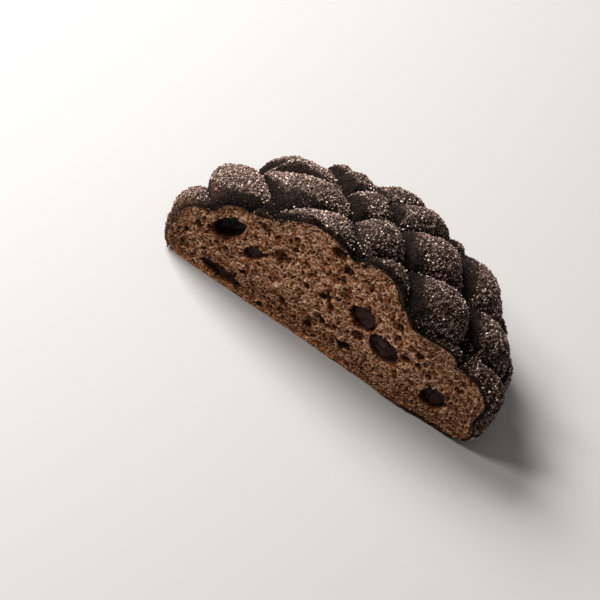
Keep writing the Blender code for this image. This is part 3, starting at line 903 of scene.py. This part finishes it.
def strew(name, body, weight, count, sizes, sink, seed):
    """Copies of a body on the crust. Their half sizes are drawn between two limits, mostly near the lower."""
    corners, body_faces = body
    chance = np.random.default_rng(seed)
    weight = np.ravel(weight) / np.sum(weight)
    places = chance.choice(len(weight), size=count, p=weight)
    middle = crust_points.reshape(-1, 3)[places]
    normal = crust_normals.reshape(-1, 3)[places]
    half = sizes[0] + (sizes[1] - sizes[0]) * chance.random(count) ** SMALL_ONES
    squat = chance.uniform(0.65, 1.0, size=(count, 3))
    middle = middle + chance.uniform(-0.15, 0.15, size=(count, 3)) + normal * (half * sink)[:, None]
    shaped = corners[None] * (half[:, None] * squat)[:, None, :]
    shaped *= chance.uniform(0.8, 1.2, size=shaped.shape)
    points = np.einsum("nij,nkj->nki", random_turns(chance, count), shaped) + middle[:, None, :]
    points[..., 2] = np.maximum(points[..., 2], LOWEST_BODY)
    faces = body_faces[None] + len(corners) * np.arange(count)[:, None, None]
    tint = np.repeat(chance.random(count), len(corners))
    return add_piece(name, points, faces.reshape(-1, body_faces.shape[1]), "biscuit", smooth=False, tint=tint)


# %% [markdown]
# ## Where the bodies lie
# Each kind has a weight for every point of the crust's grid: the area round that point, times how much of the
# kind belongs there. Sugar and pale grit lie high on the pillows, dark grit on the bare flanks. The extra
# sugar and pale grit at the left, at the right end and along the middle of the cut edge are painted light:
# they make those parts look more brightly lit.

# %% Strew all three kinds
steps = np.gradient(smooth_crust, axis=1), np.gradient(smooth_crust, axis=0)
spacing = np.linalg.norm(np.cross(*steps), axis=-1)
patches = 0.65 + 0.35 * smooth_step(-0.4, 0.6, drift(smooth_crust, 9.0, SEED + 60))
# Painted light: the shares below put more sugar and pale grit on the low pillows at the right end, at the
# left, and on the middle of the cut edge, so that these parts look brighter lit.
low_share = 0.45 + 0.45 * at_right
high = (1 - 0.98 * bare) ** 1.5 * (low_share + (1 - low_share) * smooth_step(4, 16, smooth_crust[..., 2]))
high = high * (1 - 0.75 * gap) * (1.7 - 0.7 * smooth_step(-20.0, 6.0, across) + 0.25 * at_right)
high = high * (1 + at_middle * (1 - smooth_step(4.0, 8.0, behind_cut)))
on_top = spacing * high * patches
on_pillow = spacing * (0.005 + high)
on_flank = spacing * (0.05 + bare)
sugar = strew("sugar", CRYSTAL, on_top, count=10500, sizes=(0.11, 0.25), sink=-0.15, seed=5)
grit = strew("grit", SPECK, on_pillow, count=24900, sizes=(0.15, 0.34), sink=-0.25, seed=6)
# The dark grit follows the same mask, so its near-black colour is partly painted shade on the flanks.
dark_grit = strew("dark_grit", SPECK, on_flank, count=22000, sizes=(0.17, 0.36), sink=-0.30, seed=7)

# %% [markdown]
# ## Materials
# Every material starts from the place on the object, so that its pattern has a real size, or from a value
# that the cells above stored on the mesh. Three effects are node groups: mottling, which mixes two colours
# by soft noise; tooth, the height of a fine rough surface; and cell edges, a net of thin cracks.

# %% Helpers for node trees
def feed(tree, socket, value):
    """Links the socket if the value is a node's output, and sets it if the value is a number or a colour."""
    if isinstance(value, bpy.types.NodeSocket):
        tree.links.new(value, socket)
    else:
        socket.default_value = value


def add_node(tree, kind, inputs=(), **settings):
    """A node with its settings, and with its inputs fed by their name or their number."""
    node = tree.nodes.new(kind)
    for name, value in settings.items():
        setattr(node, name, value)
    for key, value in dict(inputs).items():
        feed(tree, node.inputs[key], value)
    return node


def new_group(name, inputs, outputs):
    """An empty node group whose sockets are (name, type, value) and (name, type)."""
    tree = bpy.data.node_groups.new(name, "ShaderNodeTree")
    for title, kind, value in inputs:
        socket = tree.interface.new_socket(title, in_out="INPUT", socket_type=kind)
        if value is not None:
            socket.default_value = value
    for title, kind in outputs:
        tree.interface.new_socket(title, in_out="OUTPUT", socket_type=kind)
    return tree, tree.nodes.new("NodeGroupInput"), tree.nodes.new("NodeGroupOutput")


def mix_colours(tree, share, first, second, blend="MIX"):
    """A Mix node for colours, and its output. In this node, inputs 6 and 7 and output 2 are the colours."""
    inputs = {0: share, 6: first, 7: second}
    return add_node(tree, "ShaderNodeMix", inputs, data_type="RGBA", blend_type=blend).outputs[2]


def times(tree, base, colour):
    """One colour multiplied by another."""
    return mix_colours(tree, 1.0, base, colour, "MULTIPLY")


def ramp(tree, value, *stops):
    """A colour ramp over (place, colour) stops, and its colour output."""
    node = add_node(tree, "ShaderNodeValToRGB", {"Fac": value})
    while len(node.color_ramp.elements) < len(stops):
        node.color_ramp.elements.new(0.5)
    for element, (place, colour) in zip(node.color_ramp.elements, stops):
        element.position = place
        element.color = (*colour, 1)
    return node.outputs["Color"]


def maths(tree, operation, first, second):
    """A Math node of two values, and its output."""
    return add_node(tree, "ShaderNodeMath", {0: first, 1: second}, operation=operation).outputs[0]


def vectors(tree, operation, inputs):
    """A Vector Math node, and its output."""
    return add_node(tree, "ShaderNodeVectorMath", inputs, operation=operation).outputs["Vector"]


def stretch(tree, value, start, end, new_start=0.0, new_end=1.0):
    """Carries the range from start to end over to a new range, and holds the value at the new ends."""
    node = add_node(tree, "ShaderNodeMapRange", {
        "Value": value, "From Min": start, "From Max": end, "To Min": new_start, "To Max": new_end,
    })
    return node.outputs["Result"]


# %% Three effects as node groups
def mottle_group():
    """Noise of several sizes between two colours, so that no baked surface is one flat colour."""
    sockets = (
        ("Place", "NodeSocketVector", None), ("Dark", "NodeSocketColor", None),
        ("Light", "NodeSocketColor", None), ("Scale", "NodeSocketFloat", 300.0),
    )
    tree, given, made = new_group("mottle", sockets, (("Colour", "NodeSocketColor"),))
    soft = add_node(tree, "ShaderNodeTexNoise", {
        "Vector": given.outputs["Place"], "Scale": given.outputs["Scale"], "Detail": 4.0, "Roughness": 0.65,
    })
    share = stretch(tree, soft.outputs["Fac"], 0.3, 0.7)
    colour = mix_colours(tree, share, given.outputs["Dark"], given.outputs["Light"])
    feed(tree, made.inputs["Colour"], colour)
    return tree


def tooth_group():
    """Height of a rough baked surface: grains of one size under finer noise."""
    sockets = (
        ("Place", "NodeSocketVector", None), ("Scale", "NodeSocketFloat", 1500.0),
        ("Fineness", "NodeSocketFloat", 3.0),
    )
    tree, given, made = new_group("tooth", sockets, (("Height", "NodeSocketFloat"),))
    place, scale = given.outputs["Place"], given.outputs["Scale"]
    packed = add_node(tree, "ShaderNodeTexVoronoi", {"Vector": place, "Scale": scale})
    finer = maths(tree, "MULTIPLY", scale, given.outputs["Fineness"])
    noise = add_node(tree, "ShaderNodeTexNoise", {"Vector": place, "Scale": finer, "Detail": 3.0})
    height = maths(tree, "SUBTRACT", noise.outputs["Fac"], packed.outputs["Distance"])
    feed(tree, made.inputs["Height"], height)
    return tree


def cell_edge_group():
    """A wavy net of cracks between packed cells: 1 on their borders and 0 inside them."""
    sockets = (
        ("Place", "NodeSocketVector", None), ("Scale", "NodeSocketFloat", 1000.0),
        ("Width", "NodeSocketFloat", 0.12), ("Waviness", "NodeSocketFloat", 0.0004),
    )
    tree, given, made = new_group("cell_edges", sockets, (("Mask", "NodeSocketFloat"),))
    place, scale = given.outputs["Place"], given.outputs["Scale"]
    noise = add_node(tree, "ShaderNodeTexNoise", {"Vector": place, "Scale": scale, "Detail": 2.0})
    centred = vectors(tree, "SUBTRACT", {0: noise.outputs["Color"], 1: (0.5, 0.5, 0.5)})
    moved = vectors(tree, "SCALE", {0: centred, "Scale": given.outputs["Waviness"]})
    wavy = vectors(tree, "ADD", {0: place, 1: moved})
    cells = add_node(
        tree, "ShaderNodeTexVoronoi", {"Vector": wavy, "Scale": scale}, feature="DISTANCE_TO_EDGE",
    )
    mask = stretch(tree, cells.outputs["Distance"], 0.0, given.outputs["Width"], 1.0, 0.0)
    feed(tree, made.inputs["Mask"], mask)
    return tree


MOTTLE = mottle_group()
TOOTH = tooth_group()
CELL_EDGES = cell_edge_group()
print("node groups:", [group.name for group in bpy.data.node_groups])


# %% Helpers for materials
def new_material(name):
    """A material with a Principled shader, and the object's own coordinates."""
    made = bpy.data.materials.new(name)
    made.use_nodes = True
    tree = made.node_tree
    place = add_node(tree, "ShaderNodeTexCoord").outputs["Object"]
    return made, tree, tree.nodes["Principled BSDF"], place


def attribute(tree, name):
    """The number stored on the mesh under a name."""
    return add_node(tree, "ShaderNodeAttribute", attribute_name=name).outputs["Fac"]


def across_bun(tree, place, start, end):
    """A share from 0 to 1 between two places along the cut, in metres."""
    across = add_node(tree, "ShaderNodeSeparateXYZ", {"Vector": place}).outputs["X"]
    return stretch(tree, across, start, end)


def coat(tree, shader, colour, roughness, specular):
    """Feeds the shader its colour, its roughness and the strength of its reflection."""
    for name, value in (("Base Color", colour), ("Roughness", roughness), ("Specular IOR Level", specular)):
        feed(tree, shader.inputs[name], value)


def roughen(tree, shader, place, scale, fineness, strength, distance):
    """Feeds the tooth group through a Bump node into the shader's normal."""
    settings = {"Place": place, "Scale": scale, "Fineness": fineness}
    height = add_node(tree, "ShaderNodeGroup", settings, node_tree=TOOTH).outputs["Height"]
    bump = add_node(tree, "ShaderNodeBump", {"Height": height, "Strength": strength, "Distance": distance})
    feed(tree, shader.inputs["Normal"], bump.outputs["Normal"])


def mottled(tree, place, shades, scale):
    """Places the mottle group between a dark and a light shade, and gives its colour."""
    dark, light = shades
    settings = {"Place": place, "Dark": (*dark, 1), "Light": (*light, 1), "Scale": scale}
    return add_node(tree, "ShaderNodeGroup", settings, node_tree=MOTTLE).outputs["Colour"]


def cell_edges(tree, place, scale, width, waviness):
    """Places the cell edge group and gives its mask."""
    settings = {"Place": place, "Scale": scale, "Width": width, "Waviness": waviness}
    return add_node(tree, "ShaderNodeGroup", settings, node_tree=CELL_EDGES).outputs["Mask"]


# %% [markdown]
# ## Biscuit, sugar and specks
# Cocoa biscuit bakes nearly black where it is stretched thin, and looks greyer where its granules are rubbed.
# The values stored on the mesh say where that is, so the colour follows the form: one after the other they
# darken or lighten a mottled brown. Part of the darkening is painted shade: at the bottom of the grooves, in
# the cracks between granules, and on the flanks.

# %% Cocoa biscuit
COCOA = ((0.120, 0.0760, 0.0610), (0.430, 0.283, 0.226))
BARE_FLANK_AND_SHADE = ((0.0012, 0.0007, 0.0005), (0.040, 0.0235, 0.0175))
BROWNED = ((0.060, 0.028, 0.016), (0.330, 0.170, 0.105))
BROKEN = ((0.012, 0.0065, 0.0045), (0.110, 0.060, 0.042))
CRACK = (0.005, 0.0033, 0.0026, 1)
WHITE = (1, 1, 1)


def biscuit_material():
    """Near-black brown where the dough has stretched thin, with painted shade on the flanks, in the grooves
    and in the cracks, greyer and paler on the rubbed granules on top.
    """
    made, tree, shader, place = new_material("cocoa_biscuit")
    base = mottled(tree, place, COCOA, 1200.0)
    by_value = (
        ("granule", (0.0, (0.60, 0.58, 0.57)), (0.7, WHITE), (1.0, (1.6, 1.55, 1.5))),
        ("grain", (0.0, (0.60, 0.58, 0.57)), (0.6, WHITE), (1.0, (1.7, 1.65, 1.6))),
        # The cracks between granules are darkened to about an eighth: the darker dough seen in them, and
        # painted shade in these recesses.
        ("gap", (0.1, WHITE), (0.75, (0.12, 0.11, 0.11))),
    )
    for name, *stops in by_value:
        base = times(tree, base, ramp(tree, attribute(tree, name), *stops))
    browned = mottled(tree, place, BROWNED, 900.0)
    at_left = across_bun(tree, place, -0.042, -0.050)
    # The flank colour is near black: the stretched dough's own dark brown, darkened further as painted shade.
    flank = mix_colours(tree, at_left, mottled(tree, place, BARE_FLANK_AND_SHADE, 1300.0), browned)
    base = mix_colours(tree, attribute(tree, "bare"), base, flank)
    # Painted shade in the grooves: the colour is multiplied down to a tenth at the bottom of each groove, and
    # comes back to full three quarters of the way up the pillow.
    groove_shade = ramp(
        tree, attribute(tree, "pillow"), (0.0, (0.10, 0.10, 0.10)), (0.45, (0.40, 0.40, 0.40)), (0.75, WHITE),
    )
    base = times(tree, base, groove_shade)
    wide_cracks = cell_edges(tree, place, 520.0, 0.07, 0.0012)
    fine_cracks = cell_edges(tree, place, 1100.0, 0.09, 0.0006)
    base = mix_colours(tree, maths(tree, "MAXIMUM", wide_cracks, fine_cracks), base, CRACK)
    broken = mix_colours(tree, at_left, mottled(tree, place, BROKEN, 1300.0), browned)
    base = mix_colours(tree, attribute(tree, "cut"), base, broken)
    coat(tree, shader, base, 0.75, 0.05)
    roughen(tree, shader, place, 1900.0, 3.0, 0.9, 0.0004)
    return made


# %% Sugar and specks
def sugar_material():
    """Sugar crystals: some clean and bright, most of them stained by cocoa."""
    made, tree, shader, place = new_material("sugar_crystals")
    stained = ramp(
        tree, attribute(tree, "tint"),
        (0.0, (0.15, 0.100, 0.082)), (0.5, (0.36, 0.247, 0.203)),
        (0.85, (0.78, 0.59, 0.50)), (1.0, (1.0, 0.87, 0.79)),
    )
    coat(tree, shader, stained, 0.3, 0.4)
    roughen(tree, shader, place, 2600.0, 2.0, 0.25, 0.0001)
    return made


def grit_material(name, darkest, middling, palest):
    """Specks of biscuit, each with its own brown."""
    made, tree, shader, place = new_material(name)
    base = ramp(tree, attribute(tree, "tint"), (0.0, darkest), (0.45, middling), (1.0, palest))
    coat(tree, shader, base, 0.7, 0.1)
    roughen(tree, shader, place, 3000.0, 2.0, 0.5, 0.0001)
    return made


# %% [markdown]
# ## Crumb and chocolate
# Light shines through the thin walls of a crumb and gets lost in its pores. True translucency would be slow
# to render, so the stored depth and walls pick the colour instead: pale on the walls, deep brown below.

# %% Cocoa crumb and baked base
THIN_WALL = ((0.58, 0.295, 0.155), (1.1, 0.76, 0.54))
FIBRES = ((0.36, 0.28, 0.22), (1.60, 1.60, 1.60))
TOASTED = ((0.030, 0.009, 0.003), (1.0, 0.440, 0.160))
BURNT = ((0.014, 0.006, 0.003), (0.110, 0.045, 0.022))
POCKET_SHADOW = ((0.006, 0.0025, 0.0015), (0.030, 0.013, 0.008))


def crumb_material():
    """Pale where thin walls stand up, deep orange brown down in the pores, and darker where it is baked."""
    made, tree, shader, place = new_material("cocoa_crumb")
    by_depth = ramp(
        tree, attribute(tree, "depth"),
        (0.0, (0.52, 0.225, 0.097)), (0.3, (0.300, 0.105, 0.036)),
        (0.75, (0.125, 0.037, 0.0105)), (1.0, (0.030, 0.009, 0.003)),
    )
    by_walls = ramp(tree, attribute(tree, "walls"), (0.25, (0, 0, 0)), (0.75, WHITE))
    base = mix_colours(tree, by_walls, by_depth, mottled(tree, place, THIN_WALL, 1300.0))
    patches = ramp(tree, attribute(tree, "tone"), (0.3, (0.70, 0.62, 0.54)), (1.0, (1.22, 1.24, 1.27)))
    base = times(tree, base, patches)
    base = times(tree, base, mottled(tree, place, FIBRES, 1900.0))
    drawn_out = vectors(tree, "MULTIPLY", {0: place, 1: (0.55, 1.0, 1.3)})
    toasted = mottled(tree, drawn_out, TOASTED, 1500.0)
    toasted = mix_colours(tree, 0.7, toasted, times(tree, base, (2.0, 1.60, 1.20, 1)))
    to_right = across_bun(tree, place, 0.010, 0.032)
    underside = mix_colours(tree, to_right, toasted, mottled(tree, place, BURNT, 900.0))
    base = mix_colours(tree, attribute(tree, "baked"), base, underside)
    # A painted shadow, nearly black, in the pockets round the chips.
    base = mix_colours(tree, attribute(tree, "pocket"), base, mottled(tree, place, POCKET_SHADOW, 700.0))
    coat(tree, shader, base, 0.8, 0.12)
    roughen(tree, shader, place, 1700.0, 2.5, 0.9, 0.0006)
    return made


# %% Dark chocolate
CHOCOLATE = ((0.006, 0.0026, 0.0024), (0.062, 0.0270, 0.0225))
SUNK_CHIP_SHADE = (0.002, 0.0012, 0.001, 1)


def chocolate_material():
    """Dark chocolate with a purple cast, dull where the knife smeared it, with a painted shade, nearly black,
    on the chip that lies deepest.
    """
    made, tree, shader, place = new_material("dark_chocolate")
    base = mottled(tree, place, CHOCOLATE, 1100.0)
    base = mix_colours(tree, attribute(tree, "sunk"), base, SUNK_CHIP_SHADE)
    noise = add_node(tree, "ShaderNodeTexNoise", {"Vector": place, "Scale": 900.0, "Detail": 3.0})
    coat(tree, shader, base, stretch(tree, noise.outputs["Fac"], 0.0, 1.0, 0.3, 0.65), 0.13)
    roughen(tree, shader, place, 1200.0, 3.0, 0.35, 0.0002)
    return made


# %% Put the materials on
crust.data.materials.append(biscuit_material())
sugar.data.materials.append(sugar_material())
grit.data.materials.append(
    grit_material("biscuit_grit", (0.020, 0.0130, 0.0105), (0.200, 0.130, 0.104), (0.50, 0.337, 0.270))
)
dark_grit.data.materials.append(
    grit_material("flank_grit", (0.0008, 0.0005, 0.0004), (0.006, 0.0038, 0.0030), (0.058, 0.037, 0.029))
)
crumb.data.materials.append(crumb_material())
chocolate = chocolate_material()
for number in range(1, len(CHIPS) + 1):
    bpy.data.objects[f"chocolate_{number}"].data.materials.append(chocolate)
print("materials:", [material.name for material in bpy.data.materials])

# %% [markdown]
# ## Floor, light and camera
# A plain pale floor and soft light leave the food to speak for itself. The main light is a large panel
# above and behind, so that it grazes the pillows and draws their tops. A smaller, weaker one on the left
# looks at the cut face, and pale surroundings fill the shadows. The camera looks down on the half bun,
# turned so that its base climbs to the upper left.

# %% The camera
CAMERA_AZIMUTH = 9.477
CAMERA_ELEVATION = 41.515
CAMERA_ROLL = 27.693
CAMERA_DISTANCE = 0.75
CAMERA_LENS = 159.8
LOOK_RIGHT = -0.01017
LOOK_UP = -0.00017

azimuth = math.radians(CAMERA_AZIMUTH)
elevation = math.radians(CAMERA_ELEVATION)
roll = math.radians(CAMERA_ROLL)
toward = Vector((
    math.sin(azimuth) * math.cos(elevation), -math.cos(azimuth) * math.cos(elevation), math.sin(elevation),
))
level = Vector((math.cos(azimuth), math.sin(azimuth), 0))
right = math.cos(roll) * level + math.sin(roll) * toward.cross(level)
above = toward.cross(right)

camera_data = bpy.data.cameras.new("camera")
camera_data.lens = CAMERA_LENS
camera_data.clip_start = 0.05
camera_data.clip_end = 20
camera = bpy.data.objects.new("camera", camera_data)
bpy.context.scene.collection.objects.link(camera)
middle = Vector(to_frame((0, 0, 20))[0])
aim = middle + LOOK_RIGHT * right + LOOK_UP * above
camera.location = middle + CAMERA_DISTANCE * toward
back_axis = (camera.location - aim).normalized()
side_axis = (right - right.dot(back_axis) * back_axis).normalized()
up_axis = back_axis.cross(side_axis)
camera.rotation_mode = "QUATERNION"
camera.rotation_quaternion = Matrix((side_axis, up_axis, back_axis)).transposed().to_quaternion()
bpy.context.scene.camera = camera
print(f"the camera stands {camera.location.z:.2f} m above the floor")

# %% Floor and light
FLOOR_REACH = 3.0
FLOOR_GREY = (0.46, 0.455, 0.45, 1)
SURROUNDINGS = (1.0, 0.985, 0.96, 1)
SURROUNDINGS_STRENGTH = 0.22

floor_mesh = bpy.data.meshes.new("floor")
corners = [(side, end, 0) for side, end in ((-1, -1), (1, -1), (1, 1), (-1, 1))]
floor_mesh.from_pydata([FLOOR_REACH * Vector(corner) for corner in corners], [], [(0, 1, 2, 3)])
floor = bpy.data.objects.new("floor", floor_mesh)
bpy.context.scene.collection.objects.link(floor)
floor_material, _, floor_shader, _ = new_material("pale_floor")
floor_shader.inputs["Base Color"].default_value = FLOOR_GREY
floor_shader.inputs["Roughness"].default_value = 0.7
floor_mesh.materials.append(floor_material)

world = bpy.data.worlds.new("studio")
world.use_nodes = True
world.node_tree.nodes["Background"].inputs["Color"].default_value = SURROUNDINGS
world.node_tree.nodes["Background"].inputs["Strength"].default_value = SURROUNDINGS_STRENGTH
bpy.context.scene.world = world
bpy.context.scene.view_settings.view_transform = "Standard"


def add_panel(name, direction, distance, size, power, colour):
    """A square light panel that looks at the bun from a direction."""
    data = bpy.data.lights.new(name, "AREA")
    data.size = size
    data.energy = power
    data.color = colour
    panel = bpy.data.objects.new(name, data)
    panel.location = middle + direction.normalized() * distance
    panel.rotation_mode = "QUATERNION"
    panel.rotation_quaternion = direction.to_track_quat("Z", "Y")
    bpy.context.scene.collection.objects.link(panel)


add_panel("window", -0.30 * right + 0.95 * above + 0.12 * toward, 0.9, 0.4, 17.0, (1.0, 0.97, 0.94))
add_panel("face_light", -0.50 * right + 0.70 * above + 0.55 * toward, 1.0, 0.25, 5.0, (1.0, 0.98, 0.96))
